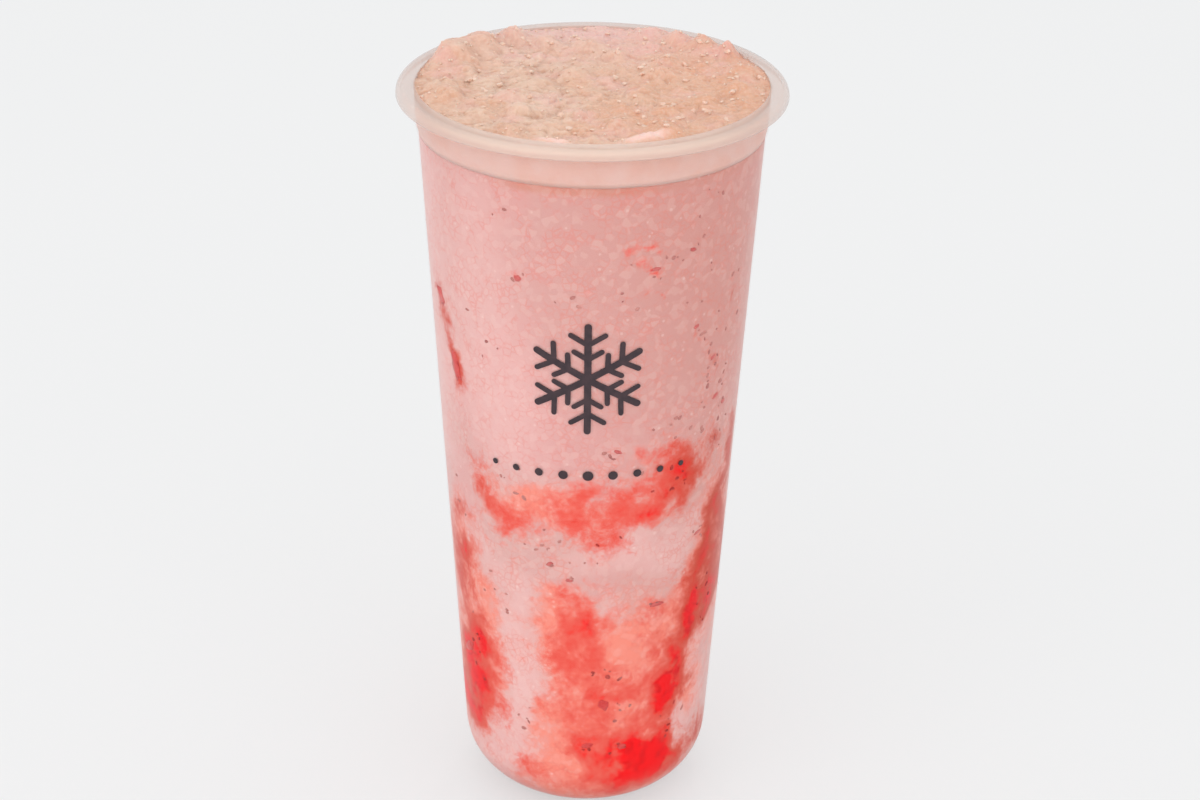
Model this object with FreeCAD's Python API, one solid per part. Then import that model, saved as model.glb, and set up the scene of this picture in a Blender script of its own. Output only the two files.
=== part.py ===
"""A tall, tapered, translucent plastic cup filled to the brim with strawberry slush.

Three pieces: the one-piece moulded cup, the pink slush that fills it up to its stacking
shoulder, and the layer of icy froth that floats on the slush and stands level with the rim.
Millimetres, +Z up, origin on the cup's axis in the plane that it stands on.
"""
import FreeCAD, Part
import math
import os

# Cup: overall sizes
CUP_HEIGHT = 184.0
RIM_DIAMETER = 90.0
WALL = 0.65                    # moulded side wall
FLOOR = 0.9                    # base plate, a little thicker than the wall

# Cup: tapered side, as the radius that the outer face would have at z = 0 and its growth per mm
TAPER_FOOT_RADIUS = 29.65
TAPER = 0.061
HEEL_RADIUS = 15.9             # the large rounding between side and base
PUNT_RADIUS = 11.0             # recess under the base, which leaves a flat foot ring round it
PUNT_DEPTH = 2.0
PUNT_FLARE = 1.2               # how much wider the recess is at the foot ring
PUNT_ROUNDING = 0.8

# Cup: collar above the stacking shoulder, and the turned-down rim
SHOULDER_HEIGHT = 173.5
SHOULDER_RISE = 0.9
COLLAR_STEP = 0.35             # how far the collar stands out from the tapered side
RIM_THICKNESS = 0.95
RIM_DROP = 2.5                 # from the top of the rim to the skirt's lower edge
RIM_ROUNDING = 1.9
EDGE_ROUNDING = 0.35

# Froth: a level top broken by rounded lumps of ice
FROTH_BASE = SHOULDER_HEIGHT
FROTH_LEVEL = 183.2
FROTH_CROWN = 0.6              # the middle stands this much higher than the edge
FROTH_TILT = 0.6               # the back edge stands this much higher than the front edge
LUMP_COUNT = 46
LUMP_HEIGHT = 1.9              # of the tallest scattered lump
LUMP_WIDTH = 3.6               # spread of the widest scattered lump
LUMP_REACH = 0.93              # how far out the lumps lie, as a share of the mouth
SIZE_STEP = 1.7                # radians from one lump to the next in the cycle of their sizes
GRID_STEPS = 36                # spans of the froth's top surface across the mouth
GOLDEN_ANGLE = math.radians(137.50776)

# Froth: the few places where the ice is heaped above the rim, most of it at the back left.
# Direction in degrees from the front (-Y) towards +X, distance out, height and spread in mm
HEAPS = [
    (-116, 35.5, 4.2, 4.2),
    (-131, 35.0, 4.6, 5.0),
    (-147, 35.5, 3.2, 4.5),
    (134, 36.0, 3.2, 3.4),
    (146, 35.5, 2.6, 3.6),
    (-75, 34.0, 2.4, 4.0),
    (28, 35.5, 2.0, 3.2),
]

ABOVE_ALL = 20.0               # how far the cavity is carried on above the rim
AXIS = FreeCAD.Vector(0, 0, 1)
ORIGIN = FreeCAD.Vector(0, 0, 0)


def side_radius(z, inset=0.0):
    """Radius of the tapered side at height z, measured inset mm in from its outer face."""
    return TAPER_FOOT_RADIUS + TAPER * z - inset * math.sqrt(1.0 + TAPER * TAPER)


def fillet_ends(before, corner, after, radius):
    """Start, middle and end of the arc that rounds a corner of an outline."""
    to_before = (before - corner).normalize()
    to_after = (after - corner).normalize()
    half_angle = to_before.getAngle(to_after) / 2.0
    reach = radius / math.tan(half_angle)
    towards_centre = (to_before + to_after).normalize()
    centre = corner + towards_centre * (radius / math.sin(half_angle))
    return (corner + to_before * reach, centre - towards_centre * radius,
            corner + to_after * reach)


def rounded_wire(corners):
    """Closed wire in the XZ plane through (x, z, rounding) corners."""
    points = [FreeCAD.Vector(x, 0, z) for x, z, _ in corners]
    count = len(points)
    edges = []
    stretches = []
    for i, (_, _, radius) in enumerate(corners):
        if radius > 0:
            start, middle, end = fillet_ends(points[i - 1], points[i], points[(i + 1) % count],
                                             radius)
            edges.append(Part.Arc(start, middle, end).toShape())
            stretches.append((start, end))
        else:
            stretches.append((points[i], points[i]))
    for i in range(count):
        start = stretches[i][1]
        end = stretches[(i + 1) % count][0]
        if start.distanceToPoint(end) > 1e-6:
            edges.append(Part.makeLine(start, end))
    return Part.Wire(Part.__sortEdges__(edges))


def turned(corners):
    """Solid of revolution about the cup's axis from an outline of rounded corners."""
    return Part.Face(rounded_wire(corners)).revolve(ORIGIN, AXIS, 360)


def base_corners(lift, inset):
    """Underside outline from the axis to the heel: outer face, or inner face when inset."""
    heel_corner = side_radius(lift, inset)
    return [
        (0, PUNT_DEPTH + lift, 0),
        (PUNT_RADIUS, PUNT_DEPTH + lift, PUNT_ROUNDING),
        (PUNT_RADIUS + PUNT_FLARE, lift, PUNT_ROUNDING),
        (heel_corner, lift, HEEL_RADIUS - inset),
    ]


def cavity():
    """All the space inside the cup, carried on above the rim."""
    shoulder_top = SHOULDER_HEIGHT + SHOULDER_RISE
    top = CUP_HEIGHT + ABOVE_ALL
    return turned(base_corners(FLOOR, WALL) + [
        (side_radius(SHOULDER_HEIGHT, WALL), SHOULDER_HEIGHT, EDGE_ROUNDING),
        (side_radius(shoulder_top, WALL) + COLLAR_STEP, shoulder_top, EDGE_ROUNDING),
        (side_radius(CUP_HEIGHT, WALL) + COLLAR_STEP, CUP_HEIGHT, 0),
        (side_radius(CUP_HEIGHT, WALL) + COLLAR_STEP, top, 0),
        (0, top, 0),
    ])


def make_cup(inside):
    """The moulded cup: tapered side, collar and a rim that turns out and down."""
    shoulder_top = SHOULDER_HEIGHT + SHOULDER_RISE
    under_rim = CUP_HEIGHT - RIM_THICKNESS
    skirt_bottom = CUP_HEIGHT - RIM_DROP
    rim_radius = RIM_DIAMETER / 2.0
    skirt_inside = rim_radius - RIM_THICKNESS
    outside = turned(base_corners(0.0, 0.0) + [
        (side_radius(SHOULDER_HEIGHT), SHOULDER_HEIGHT, EDGE_ROUNDING),
        (side_radius(shoulder_top) + COLLAR_STEP, shoulder_top, EDGE_ROUNDING),
        (side_radius(under_rim) + COLLAR_STEP, under_rim, EDGE_ROUNDING),
        (skirt_inside, under_rim, RIM_ROUNDING - RIM_THICKNESS),
        (skirt_inside, skirt_bottom, EDGE_ROUNDING),
        (rim_radius, skirt_bottom, EDGE_ROUNDING),
        (rim_radius, CUP_HEIGHT, RIM_ROUNDING),
        (0, CUP_HEIGHT, 0),
    ])
    return outside.cut(inside)


def lumps():
    """Centre, height and spread of each heap, and of each lump scattered over the mouth."""
    mouth = side_radius(CUP_HEIGHT, WALL) + COLLAR_STEP
    found = []
    for direction, reach, tall, spread in HEAPS:
        turn = math.radians(direction)
        found.append(((reach * math.sin(turn), -reach * math.cos(turn)), tall, spread))
    for i in range(LUMP_COUNT):
        reach = LUMP_REACH * mouth * math.sqrt((i + 0.5) / LUMP_COUNT)
        turn = i * GOLDEN_ANGLE
        size = 0.5 + 0.5 * math.sin(i * SIZE_STEP)
        centre = (reach * math.cos(turn), reach * math.sin(turn))
        found.append((centre, LUMP_HEIGHT * (0.35 + 0.65 * size), LUMP_WIDTH * (0.6 + 0.4 * size)))
    return found


def froth_height(x, y, scattered):
    """Height of the froth's top at a point: crown and tilt, with the lumps upon them."""
    mouth = side_radius(CUP_HEIGHT, WALL) + COLLAR_STEP
    out = min(math.hypot(x, y) / mouth, 1.0)
    height = FROTH_LEVEL + FROTH_CROWN * (1.0 - out * out) + FROTH_TILT / 2.0 * y / mouth
    bump = 0.0
    for (cx, cy), tall, spread in scattered:
        apart = math.hypot(x - cx, y - cy) / spread
        bump = max(bump, tall * math.exp(-apart * apart))
    return height + bump


def below_froth_top():
    """Solid under the froth's lumpy top, wider than the cup."""
    scattered = lumps()
    half_width = RIM_DIAMETER / 2.0
    places = [half_width * (2.0 * i / GRID_STEPS - 1.0) for i in range(GRID_STEPS + 1)]
    rows = [[FreeCAD.Vector(x, y, froth_height(x, y, scattered)) for y in places] for x in places]
    surface = Part.BSplineSurface()
    surface.interpolate(rows)
    return surface.toShape().extrude(-AXIS * ABOVE_ALL)


def slab(low, high):
    """Level slab wider than the cup, to cut the contents at a height."""
    half_width = RIM_DIAMETER
    corner = FreeCAD.Vector(-half_width, -half_width, low)
    return Part.makeBox(2 * half_width, 2 * half_width, high - low, corner)


def main():
    inside = cavity()
    pieces = {
        "cup": make_cup(inside),
        "slush": inside.common(slab(-1.0, FROTH_BASE)),
        "froth": inside.common(slab(FROTH_BASE, CUP_HEIGHT + ABOVE_ALL)).common(below_froth_top()),
    }
    os.makedirs("parts", exist_ok=True)
    for name, shape in pieces.items():
        solid = shape.Solids[0]
        solid.exportStep(f"parts/{name}.step")
        print(f"{name}: {len(shape.Solids)} solid, valid {solid.isValid()}, "
              f"{solid.Volume / 1000:.2f} ml, top {solid.BoundBox.ZMax:.2f} mm")


main()
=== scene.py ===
"""Looks of the strawberry slush: a translucent cup brim-full of marbled pink ice under a tan froth.

Metres throughout, +Z up. The printed front faces -Y. Directions round the cup are degrees from
the front towards +X, and heights are millimetres above the foot, turned to metres by MM.
"""
import math

import bmesh
import bpy
import numpy as np
from mathutils import Matrix, Vector, noise
from mathutils.bvhtree import BVHTree


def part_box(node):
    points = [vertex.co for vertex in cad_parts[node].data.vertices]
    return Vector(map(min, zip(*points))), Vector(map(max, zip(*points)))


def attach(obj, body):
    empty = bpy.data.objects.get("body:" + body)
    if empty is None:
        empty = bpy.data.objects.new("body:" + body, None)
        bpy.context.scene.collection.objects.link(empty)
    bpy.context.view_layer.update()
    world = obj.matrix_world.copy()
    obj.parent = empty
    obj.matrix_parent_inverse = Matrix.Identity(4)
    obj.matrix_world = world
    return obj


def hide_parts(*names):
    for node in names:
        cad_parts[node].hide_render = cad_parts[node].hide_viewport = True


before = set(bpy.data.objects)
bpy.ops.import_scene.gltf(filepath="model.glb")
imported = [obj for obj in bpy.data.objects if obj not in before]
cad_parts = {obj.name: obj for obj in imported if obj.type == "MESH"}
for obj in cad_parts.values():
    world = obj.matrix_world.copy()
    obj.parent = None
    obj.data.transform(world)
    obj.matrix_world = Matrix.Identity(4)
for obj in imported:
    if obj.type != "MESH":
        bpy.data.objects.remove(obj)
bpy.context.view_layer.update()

MM = 0.001
SEED = 1669
BODY = "root"

# Sizes read from the frame
FOOT, CUP_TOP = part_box("cup")[0].z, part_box("cup")[1].z
RIM_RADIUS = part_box("cup")[1].x
SLUSH_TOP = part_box("slush")[1].z
FROTH_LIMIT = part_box("froth")[1].z
CUP_MIDDLE = Vector((0, 0, CUP_TOP / 2))

WALL = 0.65 * MM              # thickness of the cup's side
INTO_WALL = 0.35 * MM         # how far the drink reaches into it, so that no gap shows


# ---------------- numbers and meshes

def side_profile(node):
    """Heights and outermost radii of a turned node's side, from its foot up."""
    co = np.array([v.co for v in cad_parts[node].data.vertices])
    radii = np.hypot(co[:, 0], co[:, 1])
    heights, profile, widest = [], [], 0.0
    for z in np.unique(co[:, 2].round(6)):
        here = radii[np.abs(co[:, 2] - z) < 1e-6].max()
        if here >= widest:
            widest = here
            heights.append(z)
            profile.append(here)
    return np.array(heights), np.array(profile)


SLUSH_SIDE = side_profile("slush")
FROTH_SIDE = side_profile("froth")


def inner_radius(z):
    """Radius of the cup's inside at height z, from the contents that fill it."""
    low = np.interp(z, *SLUSH_SIDE)
    high = np.interp(z, *FROTH_SIDE)
    return np.where(np.asarray(z) <= SLUSH_TOP, low, high)


def outer_radius(z):
    """Radius of the cup's outside at height z."""
    return float(inner_radius(z)) + WALL


def point_at(turn, radius, z):
    """Point in a direction round the cup, in radians, this far from the axis and this high."""
    return Vector((radius * math.sin(turn), -radius * math.cos(turn), z))


def new_piece(name, vertices, faces, material, slot, smooth=True):
    """A mesh piece of the drink or cup that rides on the one body."""
    mesh = bpy.data.meshes.new(name)
    mesh.from_pydata([tuple(v) for v in vertices], [], [tuple(f) for f in faces])
    mesh.validate()
    mesh.polygons.foreach_set("use_smooth", [smooth] * len(mesh.polygons))
    mesh.materials.append(material)
    piece = bpy.data.objects.new(name, mesh)
    bpy.context.scene.collection.objects.link(piece)
    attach(piece, BODY)
    return piece


def set_attribute(piece, name, values):
    """Stores one number for each vertex, for the material to read."""
    layer = piece.data.attributes.new(name, "FLOAT", "POINT")
    layer.data.foreach_set("value", np.asarray(values, np.float32))


def noise_at(points, size, seed=0.0, octaves=2):
    """Smooth noise, about -1 to 1, at each point, with features of about the given size."""
    shift = Vector((seed * 17.3, seed * 5.1, seed * 9.7))
    return np.array([noise.fractal(Vector(p) / size + shift, 1.0, 2.0, octaves,
                                   noise_basis="PERLIN_ORIGINAL") for p in points])


def smoothstep(low, high, x):
    """0 below low, 1 above high and smooth between them."""
    t = np.clip((x - low) / (high - low), 0.0, 1.0)
    return t * t * (3.0 - 2.0 * t)


def joined(parts):
    """Vertices and faces of many small meshes as one."""
    vertices, faces = [], []
    for points, polygons in parts:
        start = len(vertices)
        vertices.extend(points)
        faces.extend([tuple(start + i for i in f) for f in polygons])
    return vertices, faces


def ball(subdivisions):
    """Vertices and faces of a unit ball."""
    bm = bmesh.new()
    bmesh.ops.create_icosphere(bm, subdivisions=subdivisions, radius=1.0)
    shape = ([v.co.copy() for v in bm.verts], [[v.index for v in f.verts] for f in bm.faces])
    bm.free()
    return shape


# ---------------- materials

def node_material(name):
    """A new material and its node tree, emptied."""
    material = bpy.data.materials.new(name)
    material.use_nodes = True
    tree = material.node_tree
    tree.nodes.clear()
    return material, tree


def finished(material, shader):
    """The material, with this shader as its surface."""
    tree = material.node_tree
    output = tree.nodes.new("ShaderNodeOutputMaterial")
    tree.links.new(shader, output.inputs["Surface"])
    return material


def feed(socket, value):
    """Gives an input its value: a number, a vector, a colour or another node's output."""
    if isinstance(value, bpy.types.NodeSocket):
        socket.id_data.links.new(value, socket)
    elif socket.type == "RGBA":
        socket.default_value = (*value, 1.0)
    else:
        socket.default_value = value


def add(tree, kind, **values):
    """Adds a node. Named values feed its inputs, or set its properties where no input fits."""
    node = tree.nodes.new(kind)
    for key, value in values.items():
        if key in node.inputs:
            feed(node.inputs[key], value)
        else:
            setattr(node, key, value)
    return node


def maths(operation, a, b, clamp=False):
    """Result of an operation on two values, at least one of them another node's output."""
    tree = (a if isinstance(a, bpy.types.NodeSocket) else b).id_data
    node = add(tree, "ShaderNodeMath", operation=operation, use_clamp=clamp)
    feed(node.inputs[0], a)
    feed(node.inputs[1], b)
    return node.outputs[0]


def plus(a, b, clamp=False):
    return maths("ADD", a, b, clamp)


def times(a, b):
    return maths("MULTIPLY", a, b)


def remap(value, low, high, to_low=0.0, to_high=1.0):
    """A smooth step in a value: to_low up to low, and to_high from high on."""
    node = add(value.id_data, "ShaderNodeMapRange", interpolation_type="SMOOTHSTEP", **{
        "Value": value, "From Min": low, "From Max": high, "To Min": to_low, "To Max": to_high})
    return node.outputs["Result"]


def span(tree, axis, low, high, to_low=0.0, to_high=1.0, start=0.0):
    """A smooth step between two places on one of the cup's axes, in mm from its start."""
    spot = add(tree, "ShaderNodeTexCoord").outputs["Object"]
    place = add(tree, "ShaderNodeSeparateXYZ", Vector=spot).outputs[axis]
    return remap(place, start + low * MM, start + high * MM, to_low, to_high)


def noise_texture(tree, scale, detail=3.0, roughness=0.55, distortion=0.0, seed=0.0):
    """Noise in object space. scale is features per metre, so 1000 gives features about 1 mm."""
    shifted = add(tree, "ShaderNodeVectorMath", operation="ADD")
    feed(shifted.inputs[0], add(tree, "ShaderNodeTexCoord").outputs["Object"])
    feed(shifted.inputs[1], (seed, seed * 0.7, seed * 1.3))
    return add(tree, "ShaderNodeTexNoise", Vector=shifted.outputs[0], Scale=scale, Detail=detail,
               Roughness=roughness, Distortion=distortion).outputs["Fac"]


def ramp(value, stops):
    """Colour from a value by (position, colour) stops."""
    node = add(value.id_data, "ShaderNodeValToRGB", Fac=value)
    elements = node.color_ramp.elements
    while len(elements) < len(stops):
        elements.new(0.5)
    for element, (position, colour) in zip(elements, stops):
        element.position = position
        element.color = (*colour, 1.0)
    return node.outputs["Color"]


def blended(factor, a, b):
    """Colour a, turned into colour b as the factor goes from 0 to 1."""
    node = add(factor.id_data, "ShaderNodeMix", data_type="RGBA")
    for number, value in ((0, factor), (6, a), (7, b)):
        feed(node.inputs[number], value)
    return node.outputs[2]


def mixed(share, a, b):
    """Shader a, turned into shader b as the share goes from 0 to 1."""
    mix = add(share.id_data, "ShaderNodeMixShader")
    for socket, value in zip(mix.inputs, (share, a.outputs[0], b.outputs[0])):
        feed(socket, value)
    return mix.outputs[0]


def attribute(tree, name):
    """A number stored on the mesh by set_attribute."""
    return add(tree, "ShaderNodeAttribute", attribute_name=name).outputs["Fac"]


# Colours, linear. The slush:
MILK = (0.675, 0.387, 0.362)
MILK_ROSY = (0.71, 0.375, 0.357)
MILK_DUSKY_AND_SHADE = (0.62, 0.296, 0.262)       # painted shade on the right, where less light falls, and duskier up under the froth
ICE_PALE = (0.80, 0.485, 0.460)
SALMON = (0.87, 0.265, 0.200)
BERRY = (0.79, 0.103, 0.076)
BERRY_SHADE = (0.48, 0.046, 0.016)      # the same in painted shade, towards both sides
DEEP_BERRY = (0.90, 0.003, 0.006)
CRIMSON_AND_SHADE = (0.52, 0.003, 0.006)          # threads in the deepest purée, and painted shade towards both sides
SYRUP = (0.72, 0.19, 0.15)
HEEL_SHADE = (0.52, 0.105, 0.082)
BROWN_UNDER_FROTH = (0.60, 0.23, 0.155)
FROST = (0.86, 0.64, 0.59)
AIR = (0.92, 0.76, 0.72)
# The froth, from its hollows to its crowns, browner in the hollows as painted shade, and what tints it
FROTH_TAN_SHADED = [(0.0, (0.58, 0.33, 0.23)), (0.45, (0.68, 0.44, 0.32)), (1.0, (0.76, 0.53, 0.41))]
FROTH_PEACH = (0.70, 0.36, 0.225)
FROTH_BLUSH = (0.76, 0.43, 0.38)
FROTH_BACK = (0.76, 0.47, 0.44)
# painted highlight on the lumps of ice at the front
FROTH_ICE_HIGHLIGHT = (0.90, 0.60, 0.53)
FROTH_FROST = (0.84, 0.65, 0.54)
AT_WALL_PINK = (0.75, 0.48, 0.42)
AT_WALL_ROSE = (0.74, 0.43, 0.36)
# The cup: its side, its rim, painted light on the rim's front lip, the rim at grazing angles, and its
# gloss
SIDE_MILK = (0.78, 0.58, 0.54)
RIM_MILK = (0.79, 0.595, 0.515)
LIT_LIP_MILK = (0.95, 0.76, 0.65)
GRAZING_MILK = (0.58, 0.48, 0.44)
GLOSS = (0.96, 0.95, 0.94)
INK_SHADES = [(0.35, (0.026, 0.012, 0.018)), (0.7, (0.050, 0.024, 0.030))]
FLOOR_SHADES = [(0.3, (0.805, 0.813, 0.820)), (0.7, (0.818, 0.825, 0.832))]
FLOOR_GLOW = (0.868, 0.872, 0.875)
# Specks, each in a dark and a light shade. Steeped ones lie in purée
GRAIN_SHADES = ((0.72, 0.47, 0.36), (0.84, 0.62, 0.51))
FOAM_SHADES = ((0.74, 0.50, 0.39), (0.82, 0.60, 0.50))
SEED_SHADES = ((0.38, 0.130, 0.120), (0.58, 0.26, 0.225))
SEED_STEEPED = ((0.26, 0.010, 0.010), (0.52, 0.050, 0.040))
FLESH_SHADES = ((0.53, 0.110, 0.105), (0.62, 0.180, 0.165))
FLESH_STEEPED = ((0.56, 0.040, 0.040), (0.68, 0.090, 0.080))


def milky_ice(tree):
    """The pink ice, rosy in patches, duskier up under the froth and with painted shade to the right."""
    broad = noise_texture(tree, 38.0, detail=3.0, roughness=0.5, seed=0.71)
    milky = blended(remap(broad, 0.42, 0.62), MILK, MILK_ROSY)
    upper = span(tree, "Z", 85, 172, 0.0, 0.45)
    # painted shade: the right side, where less light falls, is darker, less so low down
    right = times(span(tree, "X", -22, 37, 0.0, 0.72), span(tree, "Z", 20, 75, 0.15, 1.0))
    milky = blended(plus(upper, right, clamp=True), milky, MILK_DUSKY_AND_SHADE)
    return blended(times(attribute(tree, "pale"), 0.9), milky, ICE_PALE)


def stained(tree, ice, veil, puree):
    """Ice stained salmon by the veil, red by the purée and deep red where that is strongest, the reds
    with painted shade towards both sides.
    """
    tinted = blended(remap(veil, 0.14, 0.88), ice, SALMON)
    # painted shade: the reds darken towards both sides, where the side turns away from the light
    shade_at_sides = plus(span(tree, "X", 13, 32, 0.0, 0.85), span(tree, "X", -34, -18, 0.6, 0.0))
    berry = blended(shade_at_sides, BERRY, BERRY_SHADE)
    reddened = blended(remap(puree, 0.10, 0.80), tinted, berry)
    strands = noise_texture(tree, 240.0, detail=5.0, distortion=1.6, seed=0.47)
    threads = times(remap(strands, 0.50, 0.66), 0.45)
    deep = blended(plus(threads, times(shade_at_sides, 0.5), clamp=True), DEEP_BERRY, CRIMSON_AND_SHADE)
    return blended(remap(puree, 0.74, 1.26), reddened, deep)


def crystalline(tree, colour, puree, wisps):
    """Crystals of ice, some of them paler, with syrup between them and a few bubbles of air."""
    spot = add(tree, "ShaderNodeTexCoord").outputs["Object"]
    cells = add(tree, "ShaderNodeTexVoronoi", Vector=spot, Scale=620.0)
    seams = add(tree, "ShaderNodeTexVoronoi", feature="DISTANCE_TO_EDGE", Vector=spot, Scale=620.0)
    hue = add(tree, "ShaderNodeSeparateColor", Color=cells.outputs["Color"])
    milkier = remap(puree, 0.25, 0.80, 1.0, 0.03)
    frosted = times(remap(hue.outputs[0], 0.45, 1.0, 0.0, 0.14), milkier)
    icy = blended(frosted, colour, FROST)
    syrup = times(remap(seams.outputs["Distance"], 0.02, 0.16, 0.32, 0.0),
                  times(remap(wisps, 0.4, 0.62), milkier))
    wet = blended(syrup, icy, SYRUP)
    bubbles = times(remap(cells.outputs["Distance"], 0.16, 0.28, 1.0, 0.0),
                    remap(hue.outputs[1], 0.91, 0.95, 0.0, 0.2))
    return blended(times(bubbles, milkier), wet, AIR)


def slush_material():
    """Milky pink ice marbled with red purée, by the strengths on the mesh and finer noise."""
    material, tree = node_material("slush_marbled")
    wisps = noise_texture(tree, 170.0, detail=6.0, roughness=0.62, distortion=1.2, seed=0.31)
    grain = noise_texture(tree, 900.0, detail=3.0, roughness=0.6)
    unevenness = plus(times(maths("SUBTRACT", wisps, 0.5), 0.95),
                      times(maths("SUBTRACT", grain, 0.5), 0.5))
    veil = plus(attribute(tree, "veil"), times(unevenness, 0.9))
    puree = plus(attribute(tree, "puree"), unevenness)
    marbled = stained(tree, milky_ice(tree), veil, puree)
    # painted shade: deeper in colour where the side turns under at the heel
    marbled = blended(span(tree, "Z", 2, 16, 0.5, 0.0), marbled, HEEL_SHADE)
    # browner just under the froth, and most of all in the middle
    middle = times(span(tree, "X", -26, -14), span(tree, "X", 2, 22, 1.0, 0.3))
    under_froth = span(tree, "Z", -2.8, -1.0, 0.0, 0.6, SLUSH_TOP)
    marbled = blended(times(middle, under_froth), marbled, BROWN_UNDER_FROTH)
    shader = add(tree, "ShaderNodeBsdfPrincipled", **{
        "Base Color": crystalline(tree, marbled, puree, wisps), "Roughness": 0.3,
        "Specular IOR Level": 0.06, "Subsurface Weight": 0.1,
        "Subsurface Radius": (0.9, 0.35, 0.25), "Subsurface Scale": 1.2 * MM})
    return finished(material, shader.outputs[0])


def froth_material():
    """Tan icy froth: creamy on the lumps and browner between them as painted shade, with pink and peach
    patches.

    It is pinker behind, more orange to the right, and pink where it lies against the wall.
    The lumps of ice at the front are paler, as a painted highlight.
    """
    material, tree = node_material("froth_icy")
    patches = noise_texture(tree, 90.0, detail=4.0, seed=0.12)
    blushes = noise_texture(tree, 110.0, detail=4.0, seed=0.83)
    bubbles = noise_texture(tree, 1300.0, detail=4.0, roughness=0.7, seed=0.57)
    relief = attribute(tree, "relief")
    orange = plus(remap(patches, 0.46, 0.64, 0.0, 0.5), span(tree, "X", -16, 28, 0.0, 0.75))
    # painted shade: the tan is browner in the hollows and creamier on the crowns
    peachy = blended(orange, ramp(relief, FROTH_TAN_SHADED), FROTH_PEACH)
    blush = plus(remap(blushes, 0.48, 0.66, 0.0, 0.5), span(tree, "Y", -5, 36, 0.0, 0.35))
    tinted = blended(blush, peachy, FROTH_BLUSH)
    tinted = blended(span(tree, "Y", 22, 36, 0.0, 0.6), tinted, FROTH_BACK)
    # painted highlight: the lumps of ice at the front are paler
    tinted = blended(attribute(tree, "ice"), tinted, FROTH_ICE_HIGHLIGHT)
    frosted = blended(remap(bubbles, 0.42, 0.68, 0.0, 0.3), tinted, FROTH_FROST)
    at_wall = span(tree, "Z", -4.5, -1.8, 1.0, 0.0, CUP_TOP)
    against = blended(remap(patches, 0.40, 0.62), AT_WALL_PINK, AT_WALL_ROSE)
    bump = add(tree, "ShaderNodeBump", Strength=0.6, Distance=0.3 * MM, Height=bubbles)
    shader = add(tree, "ShaderNodeBsdfPrincipled", **{
        "Base Color": blended(at_wall, frosted, against),
        "Roughness": remap(relief, 0.1, 0.7, 0.28, 0.5), "Normal": bump.outputs[0],
        "Subsurface Weight": 0.3, "Subsurface Radius": (1.0, 0.6, 0.45),
        "Subsurface Scale": 1.5 * MM})
    return finished(material, shader.outputs[0])


def plastic_material():
    """Thin clear polypropylene: nearly clear on the side, milky where the rim is thick."""
    material, tree = node_material("cup_polypropylene")
    haze = noise_texture(tree, 45.0, detail=2.0, seed=0.2)
    scuffs = noise_texture(tree, 600.0, detail=4.0, roughness=0.7, seed=0.4)
    rim = span(tree, "Z", -3.2, -2.2, start=CUP_TOP)
    milkiness = plus(remap(haze, 0.3, 0.7, 0.002, 0.007), times(rim, 0.48))
    # a mirror's share that grows towards grazing angles, alike from inside and from outside
    facing = add(tree, "ShaderNodeLayerWeight", Blend=0.5).outputs["Facing"]
    mirrored = plus(times(maths("POWER", facing, 5.0), 0.22), 0.007)
    clear = times(maths("SUBTRACT", 1.0, milkiness), maths("SUBTRACT", 1.0, mirrored))
    # of what isn't clear, the mirrored share shines white and the rest is the plastic's own milk
    shining = maths("DIVIDE", mirrored, maths("SUBTRACT", 1.0, clear), clamp=True)
    # painted light: the rim's front lip is lighter, where the light falls on it
    lit_front_lip = times(span(tree, "Z", -1.7, -0.6, start=CUP_TOP),
                      span(tree, "Y", -40, -16, 1.0, 0.0))
    rim_lit_front = blended(lit_front_lip, RIM_MILK, LIT_LIP_MILK)
    rim_milk = blended(maths("POWER", facing, 1.5), rim_lit_front, GRAZING_MILK)
    milk = blended(rim, SIDE_MILK, rim_milk)
    surface = add(tree, "ShaderNodeBsdfPrincipled", **{
        "Base Color": blended(shining, milk, GLOSS), "Metallic": shining,
        "Roughness": remap(scuffs, 0.3, 0.7, 0.10, 0.18), "Specular IOR Level": 0.2})
    return finished(material, mixed(clear, surface, add(tree, "ShaderNodeBsdfTransparent")))


def speck_material(name, shades, roughness, scale, depth=0.0, shine=0.5, steeped=None):
    """Wet food of two shades, for seeds, fruit and grains of ice. Depth is its translucency.

    steeped is a second pair of shades, for the specks that lie in purée.
    """
    material, tree = node_material(name)
    tone = noise_texture(tree, scale, detail=3.0, seed=0.66)
    colour = ramp(tone, list(zip((0.3, 0.7), shades)))
    if steeped:
        in_puree = remap(attribute(tree, "puree"), 0.25, 0.7)
        colour = blended(in_puree, colour, ramp(tone, list(zip((0.3, 0.7), steeped))))
    shader = add(tree, "ShaderNodeBsdfPrincipled", **{
        "Base Color": colour, "Roughness": roughness, "Specular IOR Level": shine,
        "Subsurface Weight": depth, "Subsurface Radius": (1.0, 0.6, 0.5),
        "Subsurface Scale": 0.8 * MM})
    return finished(material, shader.outputs[0])


def ink_material():
    """Dark plum ink, a little uneven where the screen printed thin."""
    material, tree = node_material("print_ink")
    shader = add(tree, "ShaderNodeBsdfPrincipled", **{
        "Base Color": ramp(noise_texture(tree, 500.0, detail=3.0, seed=0.9), INK_SHADES),
        "Roughness": 0.45})
    return finished(material, shader.outputs[0])


def floor_material():
    """Pale matt paint that also glows where it is seen, which keeps the cup's shadow light."""
    material, tree = node_material("floor_pale")
    shader = add(tree, "ShaderNodeBsdfPrincipled", **{
        "Base Color": ramp(noise_texture(tree, 3.0, detail=2.0), FLOOR_SHADES),
        "Roughness": 0.9, "Specular IOR Level": 0.1})
    path = add(tree, "ShaderNodeLightPath").outputs
    seen = maths("MAXIMUM", path["Is Camera Ray"],
                 maths("MAXIMUM", path["Is Glossy Ray"], path["Is Transmission Ray"]))
    glow = add(tree, "ShaderNodeEmission", Color=FLOOR_GLOW, Strength=1.0)
    return finished(material, mixed(times(seen, 0.6), shader, glow))


# ---------------- the slush and its marbling

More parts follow.
